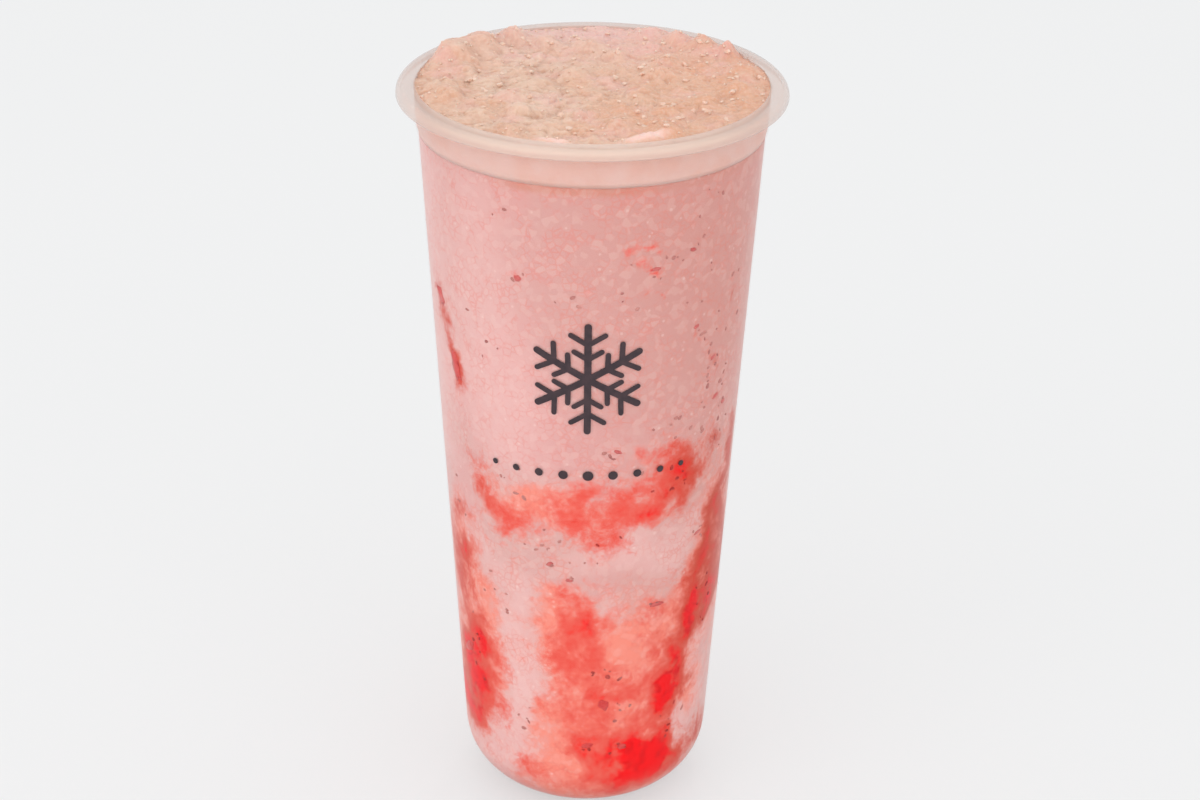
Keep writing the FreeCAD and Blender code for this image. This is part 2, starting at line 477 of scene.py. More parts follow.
# Streaks of purée on the inside of the wall, each a run of
# (direction in degrees, height in mm, half width in mm, strength) drawn out between its points
STREAKS = [
    # the band across the front, from the right down to the middle and up again at the left
    [(54, 105, 3, 0.4), (45, 102, 4, 0.5), (37, 97, 6, 0.8), (28, 94, 6, 0.85), (17, 91, 5.5, 0.75),
     (9, 87, 6, 0.9), (-1, 89, 5.5, 0.75), (-9, 92, 4, 0.5), (-18, 90, 2, 0.2)],
    [(34, 104, 4, 0.6), (23, 104, 3, 0.45)],
    [(10, 97, 2.5, 0.2), (0, 97, 3, 0.5), (-6, 97, 2, 0.15)],
    [(-18, 86, 2.5, 0.35), (-26, 86, 4, 0.6), (-33, 86, 4.5, 0.75), (-42, 89, 4, 0.6),
     (-45, 96, 4, 0.45), (-49, 101, 3, 0.3)],
    # the left side
    [(-71, 142, 3, 0.5), (-64, 138, 3.5, 0.9), (-60, 129, 2.2, 0.5), (-56, 121, 4, 1),
     (-53, 114, 1.5, 0.15)],
    [(-60, 83, 4, 0.35), (-67, 80, 5, 0.6), (-67, 73, 6, 0.85), (-64, 64, 6, 0.7), (-60, 56, 5.5, 0.75),
     (-56, 46, 6, 1.05), (-59, 40, 7, 1.15), (-64, 32, 8.5, 1.45), (-64, 26, 6, 1.05)],
    [(-60, 38, 4, 0.9), (-67, 30, 5, 1.15), (-74, 25, 6, 1.1)],
    [(-54, 31, 4, 0.7), (-44, 30, 4, 0.45)],
    # the right side, sweeping down to the strong patch at the foot
    [(74, 105, 3, 0.5), (70, 97, 4, 0.7), (66, 88, 4.5, 0.75), (61, 79, 6, 0.9), (61, 70, 5.5, 1),
     (61, 62, 5, 1.15), (54, 57, 5, 1.1), (46, 48, 4.5, 0.9), (40, 40, 6.5, 1.2), (37, 34, 5, 1.1),
     (28, 28, 4.5, 0.8)],
    [(80, 68, 4, 0.7), (74, 59, 4.5, 0.95), (66, 56, 4, 1), (60, 55, 4, 0.9)],
    [(72, 76, 5, 0.7), (72, 84, 4, 0.6), (74, 92, 4, 0.6)],
    [(38, 70, 3.5, 0.35), (46, 67, 4, 0.5), (53, 70, 4, 0.6)],
    [(31, 51, 4, 0.4), (31, 44, 4, 0.5), (20, 42, 4, 0.4)],
    [(-2, 24, 3, 0.5), (6, 22, 3.5, 0.8), (12, 18, 5.5, 1.3), (20, 18.5, 6.5, 1.7), (29, 17.5, 6.5, 1.7),
     (40, 14, 4.5, 1.1)],
    [(30, 12, 4.5, 1.1), (14, 13, 4, 0.75)],
    [(58, 15, 5, 0.6), (68, 16, 5, 0.55), (76, 15, 5, 0.5)],
    # the middle
    [(-4, 66, 4.5, 0.6), (-1, 58, 5.5, 0.95), (-5, 51, 6.5, 0.65), (-4, 42, 7, 0.45), (0, 33, 7, 0.6)],
    [(-4, 24, 3, 0.45), (3, 23, 3, 0.6)],
    [(-43, 50, 4, 0.35), (-41, 43, 4, 0.35)],
    [(20, 62, 3.5, 0.2), (30, 62, 4, 0.5), (41, 61, 4, 0.3)],
    [(9, 39, 4.5, 0.9), (9, 34, 3, 0.4)],
    [(-31, 16, 4.5, 0.6), (-17, 13, 3.5, 0.45), (-4, 11, 4, 0.45)],
    # thin strands in the milky upper half
    [(13, 158, 0.8, 0.3), (20, 156, 1, 0.55), (27, 157, 0.8, 0.35)],
    [(16, 153, 0.7, 0.35), (22, 152, 1, 0.5), (27, 153, 0.7, 0.3)],
    [(18, 148, 0.7, 0.25), (25, 147, 0.8, 0.35), (31, 149, 0.7, 0.2)],
    [(36, 139, 0.7, 0.3), (40, 135, 0.9, 0.4), (45, 132, 0.7, 0.25)],
    [(48, 129, 0.9, 0.12), (52, 124, 1.1, 0.2), (57, 119, 0.9, 0.14)],
    [(49, 113, 1, 0.2), (54, 115, 1.1, 0.3), (60, 112, 0.9, 0.2)],
    [(-29, 152, 0.7, 0.2), (-25, 150, 1.1, 0.4), (-22, 150, 0.7, 0.2)],
    [(56, 146, 0.7, 0.25), (61, 141, 0.8, 0.35), (64, 137, 0.7, 0.2)],
    # round the back, in the same manner
    [(98, 112, 3, 0.5), (110, 101, 6, 0.9), (124, 93, 7, 0.95), (140, 90, 6, 0.7),
     (156, 95, 4, 0.5)],
    [(150, 150, 2.5, 0.4), (156, 140, 3, 0.8), (162, 130, 2.5, 0.5)],
    [(95, 60, 6, 0.7), (104, 48, 7, 0.95), (116, 38, 8, 1), (126, 27, 7, 0.9), (138, 18, 7, 0.95)],
    [(170, 78, 5, 0.6), (180, 68, 7, 0.9), (190, 58, 6, 0.7), (196, 44, 6, 0.6), (192, 30, 6, 0.85),
     (184, 18, 7, 0.95)],
    [(214, 100, 3, 0.5), (224, 92, 5, 0.85), (238, 86, 6, 0.8), (252, 90, 4, 0.55)],
    [(232, 62, 5, 0.55), (240, 50, 8, 0.9), (250, 38, 8, 0.95), (262, 28, 6, 0.8)],
    [(205, 126, 2.5, 0.4), (212, 119, 3, 0.7), (218, 111, 2, 0.4)],
]

# Broad salmon veils, where purée has mixed into the ice, and paler places, written as STREAKS is
VEILS = [
    [(-21, 66, 4, 0.4), (-21, 57, 5, 0.5), (-19, 49, 4, 0.2)],
    [(-14, 66, 5, 0.4), (-8, 56, 11, 0.75), (0, 44, 13, 0.9), (6, 30, 14, 0.95), (4, 17, 11, 0.9)],
    [(-40, 91, 4, 0.4), (-26, 91, 4.5, 0.6), (-14, 92, 5, 0.6), (-4, 93, 4, 0.5)],
    [(-24, 29, 4, 0.4), (-16, 27, 5, 0.6)],
    [(54, 42, 5, 0.6), (52, 33, 6, 0.85)],
    [(10, 54, 7, 0.5), (18, 52, 10, 0.95), (28, 44, 13, 0.95), (20, 30, 13, 0.95), (24, 18, 10, 0.9)],
    [(-36, 17, 6, 0.6), (-18, 18, 9, 0.75), (-6, 12, 9, 0.75)],
    [(-50, 62, 4, 0.6), (-42, 54, 7, 0.9), (-39, 46, 7.5, 1), (-42, 34, 6, 0.7)],
    [(66, 88, 6, 0.5), (60, 68, 9, 0.8), (48, 50, 10, 0.9)],
    [(-66, 78, 7, 0.5), (-60, 60, 7, 0.6), (-56, 44, 10, 0.7), (-62, 28, 8, 0.7)],
    [(96, 60, 8, 0.6), (108, 44, 12, 0.8), (126, 26, 12, 0.85), (150, 20, 11, 0.8)],
    [(172, 72, 8, 0.6), (186, 56, 12, 0.85), (196, 38, 13, 0.9), (186, 20, 11, 0.9)],
    [(232, 58, 8, 0.6), (244, 42, 11, 0.85), (240, 24, 11, 0.8), (268, 20, 8, 0.5)],
]
PALES = [
    [(-46, 162, 11, 0.55), (-44, 140, 12, 0.7), (-36, 118, 12, 0.75), (-30, 106, 8, 0.7)],
    [(-74, 168, 9, 0.8), (-74, 120, 9, 0.8), (-72, 98, 6, 0.6)],
    [(-29, 67, 5, 0.7), (-31, 56, 6, 0.8), (-27, 39, 6.5, 1), (-34, 27, 7, 0.8)],
    [(-42, 69, 5, 0.6), (-50, 75, 4, 0.5)],
    [(18, 78, 5, 0.6), (32, 76, 6, 0.7), (44, 82, 5, 0.5)],
    [(58, 48, 5, 0.5), (58, 38, 4, 0.5), (60, 28, 5, 0.5)],
    [(42, 26, 3.5, 0.8), (50, 21, 4, 0.6)],
    [(-2, 78, 4, 0.4), (12, 80, 4, 0.5), (20, 84, 4, 0.6)],
    [(11, 64, 3.5, 0.5), (13, 59, 2.5, 0.3)],
    [(-52, 14, 8, 0.9), (-44, 19, 6, 0.7)],
    [(130, 64, 8, 0.7), (146, 52, 8, 0.8), (160, 66, 6, 0.6)],
    [(206, 84, 5, 0.6), (218, 70, 8, 0.8), (214, 52, 7, 0.7)],
]

STRONGEST = 1.6               # the most that a streak's strength can count for


def cover(streaks, around, height, aside, radius, sharpness, share, widen=1.0):
    """How strongly the streaks cover each point of the unrolled side, 0 to about 1.

    Points are given by direction in degrees, height and radius in mm, and are moved aside, in mm,
    which makes the streaks wander. A streak fades outwards, faster with a higher sharpness.
    """
    clear, deepest = np.ones(len(around)), np.zeros(len(around))
    for streak in streaks:
        nearest = np.zeros(len(around))
        for (a0, z0, w0, s0), (a1, z1, w1, s1) in zip(streak, streak[1:]):
            along_u = np.radians(a1 - a0) * radius
            along_v = z1 - z0
            off_u = np.radians((around - a0 + 180.0) % 360.0 - 180.0) * radius + aside
            off_v = height - z0
            t = (off_u * along_u + off_v * along_v) / (along_u ** 2 + along_v ** 2)
            t = np.clip(t, 0.0, 1.0)
            apart = np.hypot(off_u - t * along_u, off_v - t * along_v)
            width = w0 + (w1 - w0) * t
            strength = s0 + (s1 - s0) * t
            fall = np.exp(-0.7 * (apart / (width * widen)) ** sharpness)
            nearest = np.maximum(nearest, strength * fall)
        deepest = np.maximum(deepest, nearest)
        clear *= 1.0 - share * np.clip(nearest, 0.0, 1.0)
    # where streaks meet they add up, and a streak's own strength may pass 1
    return np.maximum(1.0 - clear, np.clip(deepest, 0.0, STRONGEST))


def marbling(points):
    """Strength of purée, of the veil round it and of the pale ice at each point of the side."""
    around = np.degrees(np.arctan2(points[:, 0], -points[:, 1]))
    mm = points / MM
    coarse_u, coarse_v = noise_at(mm, 15.0, 1.0, 2), noise_at(mm, 15.0, 2.0, 2)
    fine_u, fine_v = noise_at(mm, 4.5, 3.0, 3), noise_at(mm, 4.5, 4.0, 3)
    mottle = noise_at(mm, 7.0, 5.0, 3)
    radius = np.maximum(np.hypot(mm[:, 0], mm[:, 1]), 14.0)
    aside = 3.4 * coarse_u + 1.9 * fine_u
    height = mm[:, 2] + 2.6 * coarse_v + 1.7 * fine_v
    puree = cover(STREAKS, around, height, aside, radius, 2.2, 0.97)
    halo = cover(STREAKS, around, height, aside, radius, 1.3, 0.6, widen=1.5)
    veil = cover(VEILS, around, height, 1.5 * aside, radius, 3.0, 0.95)
    pale = cover(PALES, around, height, aside, radius, 2.6, 0.95)
    puree = puree * (1.0 + 0.6 * mottle)
    veil = np.clip(veil * (1.0 + 0.5 * mottle), 0.0, 1.0)
    veil = 1.0 - (1.0 - veil) * (1.0 - 0.75 * np.clip(halo, 0.0, 1.0))
    veil = veil * (1.0 - 0.8 * np.clip(pale, 0.0, 1.0))
    return np.clip(puree, 0.0, 1.4), np.clip(veil, 0.0, 1.0), np.clip(pale, 0.0, 1.0)


def marble(piece, *names):
    """Stores the purée's strength on a piece, and the veil's and the pale ice's if named too."""
    points = np.array([v.co for v in piece.data.vertices])
    for name, values in zip(names, marbling(points)):
        set_attribute(piece, name, values)


SLUSH_AROUND = 320            # vertices round the slush
SLUSH_LEVELS = 210            # rings of them up its side
HEEL_LEVELS = 24              # and more over the heel's rounding, where the side turns under


def make_slush(material):
    """The slush, a turned body up to the froth, with the marbling on its vertices."""
    heights = SLUSH_SIDE[0]
    low = heights[0]
    levels = np.linspace(low, SLUSH_TOP, SLUSH_LEVELS)
    heel = low + (heights[-2] - low) * 0.1 * np.linspace(0.0, 1.0, HEEL_LEVELS) ** 2
    levels = np.unique(np.concatenate([heel, levels]).round(7))
    outline = [(float(inner_radius(z)) + INTO_WALL, float(z)) for z in levels]
    foot = [(r * outline[0][0], low) for r in (0.0, 0.35, 0.7)]
    top = [(r * outline[-1][0], SLUSH_TOP) for r in (0.66, 0.33, 0.0)]
    piece = turned_piece("slush_body", foot + outline + top, SLUSH_AROUND, material, "slush")
    marble(piece, "puree", "veil", "pale")
    return piece


def turned_piece(name, outline, around, material, slot):
    """Closed solid of revolution through (radius, height) points that start and end on the axis."""
    turns = np.linspace(0.0, 2.0 * math.pi, around, endpoint=False)
    vertices = [(0.0, 0.0, outline[0][1])]
    for radius, z in outline[1:-1]:
        vertices.extend(point_at(t, radius, z) for t in turns)
    vertices.append((0.0, 0.0, outline[-1][1]))
    last = len(vertices) - 1
    rings = len(outline) - 2
    faces = []
    for i in range(around):
        j = (i + 1) % around
        faces.append((0, 1 + j, 1 + i))
        for ring in range(rings - 1):
            a, b = 1 + ring * around, 1 + (ring + 1) * around
            faces.append((a + i, a + j, b + j, b + i))
        end = 1 + (rings - 1) * around
        faces.append((last, end + i, end + j))
    return new_piece(name, vertices, faces, material, slot)


# ---------------- the froth

FROTH_GRID = 230              # quads across the froth's top
FROTH_SINK = 0.75 * MM        # the CAD's top, less this, is the level that the relief rises from
FROTH_CREST = 1.2 * MM        # the highest heaps round off over this much below the CAD's top
# Froth heaped higher still at the back: direction in degrees, distance out, height, spread in mm
CRESTS = [(-113, 37.0, 1.6, 3.4), (-121, 38.0, 2.6, 4.0), (124, 38.2, 3.4, 2.0),
          (138, 37.5, 1.0, 2.6)]
# Lumps of ice at the front, whose paleness is a painted highlight:
# direction in degrees, distance out, half width, half depth in mm
HIGHLIGHTED_ICE = [(18, 37.0, 6.4, 2.4), (-13, 37.8, 4.6, 1.9)]
HIGHLIGHTED_ICE_RISE = 0.7 * MM      # how far they stand up
NEAR_TOP = CUP_TOP - 1 * MM    # where the froth's width is measured


def disc_grid(count):
    """Evenly spread points over a unit disc, as a count by count grid of quads."""
    side = np.linspace(-1.0, 1.0, count + 1)
    a, b = np.meshgrid(side, side, indexing="ij")
    wide = np.abs(a) > np.abs(b)
    reach = np.where(wide, a, b)
    safe_a, safe_b = np.where(a == 0, 1.0, a), np.where(b == 0, 1.0, b)
    turn = np.where(wide, math.pi / 4 * b / safe_a, math.pi / 2 - math.pi / 4 * a / safe_b)
    turn = np.where((a == 0) & (b == 0), 0.0, turn)
    return reach * np.cos(turn), reach * np.sin(turn)


def lump_field(x, y, size, seed, squash=0.25):
    """Rounded lumps packed side by side: 1 on each lump's crown and 0 in the seams."""
    generator = np.random.default_rng(SEED + seed)
    reach = 1.1 * RIM_RADIUS
    cells = np.arange(-reach, reach, size)
    cx, cy = np.meshgrid(cells, cells)
    cx = (cx + generator.uniform(-0.42, 0.42, cx.shape) * size).ravel()
    cy = (cy + generator.uniform(-0.42, 0.42, cy.shape) * size).ravel()
    lean = generator.uniform(-squash, squash, cx.shape)
    tall = generator.uniform(0.45, 1.0, cx.shape)
    crown = np.zeros(x.shape)
    for px, py, stretch, height in zip(cx, cy, lean, tall):
        near = (np.abs(x - px) < size * 1.3) & (np.abs(y - py) < size * 1.3)
        dx = (x[near] - px) * (1.0 + stretch)
        dy = (y[near] - py) * (1.0 - stretch)
        out = (dx * dx + dy * dy) / (0.72 * size) ** 2
        crown[near] = np.maximum(crown[near], height * np.sqrt(np.clip(1.0 - out, 0.0, None)))
    return crown


def top_finder(piece):
    """A function that gives the height of the piece's top at x, y."""
    mesh = piece.data
    tree = BVHTree.FromPolygons([v.co for v in mesh.vertices],
                                [tuple(p.vertices) for p in mesh.polygons])
    above, down = FROTH_LIMIT + 10 * MM, Vector((0, 0, -1))

    def top(x, y):
        hit = tree.ray_cast(Vector((x, y, above)), down)[0]
        return hit.z if hit else CUP_TOP

    return top


def cad_froth_heights(x, y):
    """Height of the CAD froth's top under each point, or of its edge for points outside it."""
    top = top_finder(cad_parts["froth"])
    edge = float(FROTH_SIDE[1][-1]) - 0.15 * MM
    shrink = np.minimum(1.0, edge / np.maximum(np.hypot(x, y), 1e-9))
    return np.array([top(px, py) for px, py in zip(x * shrink, y * shrink)])


def froth_relief(x, y):
    """Height of the relief over the CAD's form, in metres, and how high it stands, 0 to 1."""
    big = lump_field(x, y, 6.4 * MM, 1)
    middle = lump_field(x, y, 3.1 * MM, 2)
    small = lump_field(x, y, 1.4 * MM, 3)
    flat = np.stack([x / MM, y / MM, np.zeros(len(x))], axis=1)
    fine = noise_at(flat, 1.1, seed=5.0, octaves=3)
    rolling = noise_at(flat, 9.0, seed=6.0, octaves=2)
    pits = smoothstep(0.16, 0.42, noise_at(flat, 2.3, seed=7.0, octaves=2))
    height = 0.62 * big + 0.5 * middle + 0.27 * small + 0.13 * fine + 0.2 * rolling - 0.3 * pits
    share = smoothstep(0.05, 1.1, 0.45 * big + 0.45 * middle + 0.25 * small + 0.15 * fine - 0.3 * pits)
    return height * MM, share


def crests(x, y):
    """Height that the crests add at each point, in metres."""
    added = np.zeros(len(x))
    for direction, reach, tall, spread in CRESTS:
        middle = point_at(math.radians(direction), reach * MM, 0.0)
        apart = np.hypot(x - middle.x, y - middle.y)
        added += tall * MM * np.exp(-(apart / (spread * MM)) ** 2)
    return added


def ice_highlight(x, y, share):
    """How far each point lies in a lump of ice with its painted highlight, 0 to 1, with an edge that the
    relief breaks up.
    """
    ice = np.zeros(len(x))
    for direction, reach, wide, deep in HIGHLIGHTED_ICE:
        turn = math.radians(direction)
        aside = (x * math.cos(turn) + y * math.sin(turn)) / (wide * MM)
        outward = (x * math.sin(turn) - y * math.cos(turn) - reach * MM) / (deep * MM)
        broken = np.hypot(aside, outward) + 0.3 * (share - 0.5)
        ice = np.maximum(ice, 1.0 - smoothstep(0.35, 1.25, broken))
    return ice


def froth_tops(x, y, out, relief, ice):
    """Height of the froth's top: the CAD's form with the relief, the crests and the lumps of ice."""
    tops = cad_froth_heights(x, y) - FROTH_SINK + relief + crests(x, y) + HIGHLIGHTED_ICE_RISE * ice
    # towards the wall the froth settles to just under the rim
    settled = np.minimum(tops, CUP_TOP - 0.5 * MM + 0.5 * relief)
    tops = tops + (settled - tops) * smoothstep(0.965, 1.0, out)
    # and the highest heaps round off
    shoulder = FROTH_LIMIT - FROTH_CREST
    over = np.clip(tops - shoulder, 0.0, None)
    rounded = shoulder + 0.98 * FROTH_CREST * (1.0 - np.exp(-over / FROTH_CREST))
    return np.where(over > 0, rounded, tops)


def make_froth(material):
    """The froth: an even grid over its lumpy top, closed by a side that reaches into the wall."""
    unit_x, unit_y = disc_grid(FROTH_GRID)
    edge = float(inner_radius(NEAR_TOP)) + INTO_WALL
    x, y = (unit_x * edge).ravel(), (unit_y * edge).ravel()
    relief, share = froth_relief(x, y)
    ice = ice_highlight(x, y, share)
    tops = froth_tops(x, y, np.hypot(x, y) / edge, relief, ice)
    vertices = [tuple(p) for p in np.stack([x, y, tops], axis=1)]
    n = FROTH_GRID + 1
    index = np.arange(n * n).reshape(n, n)
    faces = [(index[i, j], index[i + 1, j], index[i + 1, j + 1], index[i, j + 1])
             for i in range(n - 1) for j in range(n - 1)]
    border = np.concatenate([index[:-1, 0], index[-1, :-1], index[:0:-1, -1], index[0, :0:-1]])
    ring, count = list(border), len(border)
    for z in np.linspace(CUP_TOP - 2.5 * MM, SLUSH_TOP, 7):
        # a hair higher, because the collar's and the side's radii meet at the lowest level
        radius = float(inner_radius(z + 1e-6)) + INTO_WALL
        lower = list(range(len(vertices), len(vertices) + count))
        for i in border:
            scale = radius / math.hypot(x[i], y[i])
            vertices.append((x[i] * scale, y[i] * scale, float(z)))
        faces += [(ring[k], lower[k], lower[(k + 1) % count], ring[(k + 1) % count])
                  for k in range(count)]
        ring = lower
    centre = len(vertices)
    vertices.append((0.0, 0.0, SLUSH_TOP))
    faces += [(ring[k], centre, ring[(k + 1) % count]) for k in range(count)]
    piece = new_piece("froth_top", vertices, faces, material, "froth")
    below = len(vertices) - len(x)
    set_attribute(piece, "relief", np.append(share, np.full(below, 0.5)))
    set_attribute(piece, "ice", np.append(ice, np.zeros(below)))
    return piece


# ---------------- small things on and in the ice

ICE_GRAINS = 280
BUBBLES = 130


def chip(shape, size, flatness, turn, seed, roughness):
    """A rough lump: a ball flattened, dented by noise and turned. Size is its radius in metres."""
    points, faces = shape
    shift = Vector((seed * 3.1, seed * 7.7, seed * 1.9))
    rough = []
    for p in points:
        dent = noise.noise(p * 1.3 + shift) + 0.5 * noise.noise(p * 3.1 + shift)
        q = p * (1.0 + roughness * dent)
        rough.append(turn @ (Vector((q.x, q.y, q.z * flatness)) * size))
    return rough, faces


def make_ice_grains(froth, material):
    """Loose grains of ice on the froth, thickest on its heaps and along the wall."""
    generator = np.random.default_rng(SEED + 40)
    top_at = top_finder(froth)
    shape, parts = ball(1), []
    reach = float(inner_radius(NEAR_TOP)) - 1.2 * MM
    while len(parts) < ICE_GRAINS:
        radius = reach * math.sqrt(generator.uniform(0.0, 1.0))
        turn = generator.uniform(0.0, 2.0 * math.pi)
        x, y = radius * math.cos(turn), radius * math.sin(turn)
        z = top_at(x, y)
        heaped = smoothstep(CUP_TOP - 0.5 * MM, CUP_TOP + 2.5 * MM, z)
        if generator.uniform() > 0.35 + 0.65 * heaped:
            continue
        size = (0.28 + 0.62 * generator.uniform(0.0, 1.0) ** 2.6) * MM
        spin = Matrix.Rotation(generator.uniform(0, 6.3), 3, "Z") @ Matrix.Rotation(
            generator.uniform(-0.7, 0.7), 3, "X")
        flatness = generator.uniform(0.45, 0.85)
        grain, faces = chip(shape, size, flatness, spin, len(parts), 0.55)
        top = max(p.z for p in grain)
        lift = min(z + 0.1 * size, FROTH_LIMIT - 0.05 * MM - top)
        parts.append(([p + Vector((x, y, lift)) for p in grain], faces))
    return new_piece("ice_grains", *joined(parts), material, "froth", smooth=False)


def make_bubbles(froth, material):
    """Small bubbles of foam caught between the lumps, most of them near the wall."""
    generator = np.random.default_rng(SEED + 41)
    top_at = top_finder(froth)
    (points, faces), parts = ball(2), []
    edge = float(inner_radius(NEAR_TOP)) - 0.7 * MM
    for _ in range(BUBBLES):
        out = 1.0 - 0.5 * generator.uniform(0.0, 1.0) ** 2.6
        turn = generator.uniform(0.0, 2.0 * math.pi)
        x, y = edge * out * math.cos(turn), edge * out * math.sin(turn)
        size = generator.uniform(0.16, 0.40) * MM
        z = min(top_at(x, y) + 0.15 * size, FROTH_LIMIT - 1.05 * size)
        parts.append(([p * size + Vector((x, y, z)) for p in points], faces))
    return new_piece("foam_bubbles", *joined(parts), material, "froth")


# Where seeds lie against the wall: direction, height, spread in degrees and in mm, how many
SEED_PLACES = [
    (46, 124, 15, 19, 24), (48, 143, 12, 9, 8), (34, 112, 11, 6, 5), (60, 110, 7, 14, 8),
    (24, 153, 10, 5, 6), (14, 147, 6, 3, 3), (40, 157, 9, 6, 4), (-25, 150, 2, 2, 2),
    (-10, 145, 14, 6, 3), (-7, 72, 2, 1, 3), (-14, 76, 4, 2, 4), (-20, 83, 8, 3, 5),
    (5, 79, 12, 4, 5), (28, 63, 3, 1, 3), (50, 79, 6, 3, 5), (11, 107, 4, 2, 3),
    (16, 23, 3, 2, 4), (-2, 24, 3, 2, 3), (-26, 30, 5, 5, 5), (-58, 42, 7, 9, 8),
    (-40, 62, 8, 9, 6), (8, 44, 8, 6, 7), (14, 34, 6, 5, 5), (40, 30, 8, 8, 7),
    (-30, 96, 10, 6, 5), (34, 97, 14, 5, 8), (60, 60, 7, 9, 7), (-60, 88, 6, 9, 4),
    (-48, 130, 10, 14, 4), (-35, 165, 14, 4, 2), (45, 168, 12, 3, 3),
    (105, 120, 18, 24, 16), (120, 70, 16, 30, 14), (150, 110, 20, 30, 14), (155, 40, 18, 18, 12),
    (185, 140, 16, 18, 8), (195, 70, 16, 26, 14), (225, 110, 18, 28, 14), (245, 50, 18, 26, 14),
    (262, 130, 12, 20, 7),
]

# Seeds and fruit are sunk a little in the drink's side and end inside the cup's wall
SPECK_THICK = 0.28 * MM       # from their middle to their outer face
SPECK_SUNK = 0.08 * MM        # their middle lies this far under the drink's surface


def against_wall(degrees, z, lean):
    """Matrix that lays a shape on the drink's side: X round, Y up, Z outwards, then turned."""
    outward = point_at(math.radians(degrees), 1.0, 0.0)
    rise = 1.0 * MM
    slope = float(inner_radius(z + rise) - inner_radius(z - rise)) / (2 * rise)
    up = (outward * slope + Vector((0, 0, 1))).normalized()
    round_cup = up.cross(outward).normalized()
    lie = Matrix((round_cup, up, round_cup.cross(up))).transposed()
    foot = point_at(math.radians(degrees), float(inner_radius(z)), z)
    place = Matrix.Translation(foot + lie.col[2] * (INTO_WALL - SPECK_SUNK))
    return place @ lie.to_4x4() @ Matrix.Rotation(lean, 4, "Z")


def make_seeds(material):
    """Strawberry seeds and specks of skin against the wall, a few of them in short strings."""
    generator = np.random.default_rng(SEED + 42)
    (points, faces), parts = ball(2), []
    for direction, height, wide, tall, count in SEED_PLACES:
        for _ in range(count):
            degrees = direction + wide * generator.normal(0.0, 0.55)
            z = (height + tall * generator.normal(0.0, 0.55)) * MM
            z = float(np.clip(z, 9.0 * MM, SLUSH_TOP - 3.0 * MM))
            long = (0.28 + 0.6 * generator.uniform(0.0, 1.0) ** 1.6) * MM
            place = against_wall(degrees, z, generator.normal(0.0, 0.9))
            wide_end = long * generator.uniform(0.4, 0.8)
            # a drop's outline, narrower at one end, flat against the wall
            seed = [place @ Vector((p.x * long, p.y * wide_end * (1.0 - 0.3 * p.x),
                                    p.z * SPECK_THICK)) for p in points]
            parts.append((seed, faces))
    return new_piece("seeds", *joined(parts), material, "fruit")


# Pieces of fruit against the wall: direction, height and half width, half height in mm, lean
FRUIT_PLACES = [
    (-57, 121, 1.7, 3.6, 0.3), (-66, 137, 1.5, 2.8, 0.7), (8, 36, 1.2, 1.7, 0.3),
    (30, 63, 2.0, 0.6, 0.0), (17, 23, 1.1, 0.9, 0.1), (1, 24, 1.3, 0.8, 0.3),
    (-64, 42, 2.6, 1.2, 0.7), (-25, 150, 1.0, 0.8, 0.4), (-7, 72, 0.9, 0.6, 0.1),
    (-15, 76, 1.0, 0.5, 0.5), (11, 107, 0.9, 0.5, -0.4), (54, 115, 1.1, 0.6, 0.3),
    (60, 112, 1.0, 0.6, -0.3), (50, 126, 0.9, 0.5, 0.6), (40, 136, 0.8, 0.5, 0.2),
    (36, 156, 0.9, 0.5, -0.2), (22, 153, 1.2, 0.5, 0.1), (50, 79, 1.2, 0.5, 0.2),
    (112, 100, 3.0, 2.2, 0.3), (160, 136, 2.0, 3.0, 0.4), (186, 62, 2.6, 1.8, 0.2),
    (236, 90, 2.6, 1.8, -0.4), (246, 40, 2.8, 2.0, 0.8),
]


def make_fruit(material):
    """Torn bits of strawberry pressed against the wall."""
    (points, faces), parts = ball(3), []
    for k, (degrees, height, wide, tall, lean) in enumerate(FRUIT_PLACES):
        place = against_wall(degrees, height * MM, lean)
        shift = Vector((k * 5.3, k * 2.9, k * 1.1))
        torn = []
        for p in points:
            ragged = 1.0 + 0.4 * noise.noise(p * 1.6 + shift) + 0.22 * noise.noise(p * 4.0 + shift)
            torn.append(place @ Vector((p.x * wide * ragged * MM, p.y * tall * ragged * MM,
                                        p.z * SPECK_THICK)))
        parts.append((torn, faces))
    return new_piece("fruit_bits", *joined(parts), material, "fruit")


# ---------------- the print on the wall

PRINT_HEIGHT = 126.3 * MM     # middle of the snowflake
SNOWFLAKE = 14.2              # half its width, mm
DOTS_HEIGHT = 101.0 * MM
DOTS = 9
DOTS_REACH = 37.0             # degrees each way from the front
INK = 0.045 * MM              # how far the ink stands off the wall
INK_ROOT = 0.02 * MM          # how far it reaches into it
STRIP = 0.9                   # width of the strips that bend a shape round the wall, mm
ARM_HALF, TWIG_HALF = 0.82, 0.62        # half thicknesses of the snowflake's lines, mm
TWIGS = [(0.36, 0.19), (0.62, 0.25)]    # start on the arm and length, as shares of its length
TWIG_LEAN = math.radians(58)            # away from the arm


def rounded_tip(tip, along, half, steps=5):
    """Half circle of points round the end of a bar, from its right side to its left."""
    side = Vector((along.y, -along.x))
    points = []
    for k in range(steps + 1):
        turn = math.pi * k / steps
        points.append(tip + side * (half * math.cos(turn)) + along * (half * math.sin(turn)))
    return points


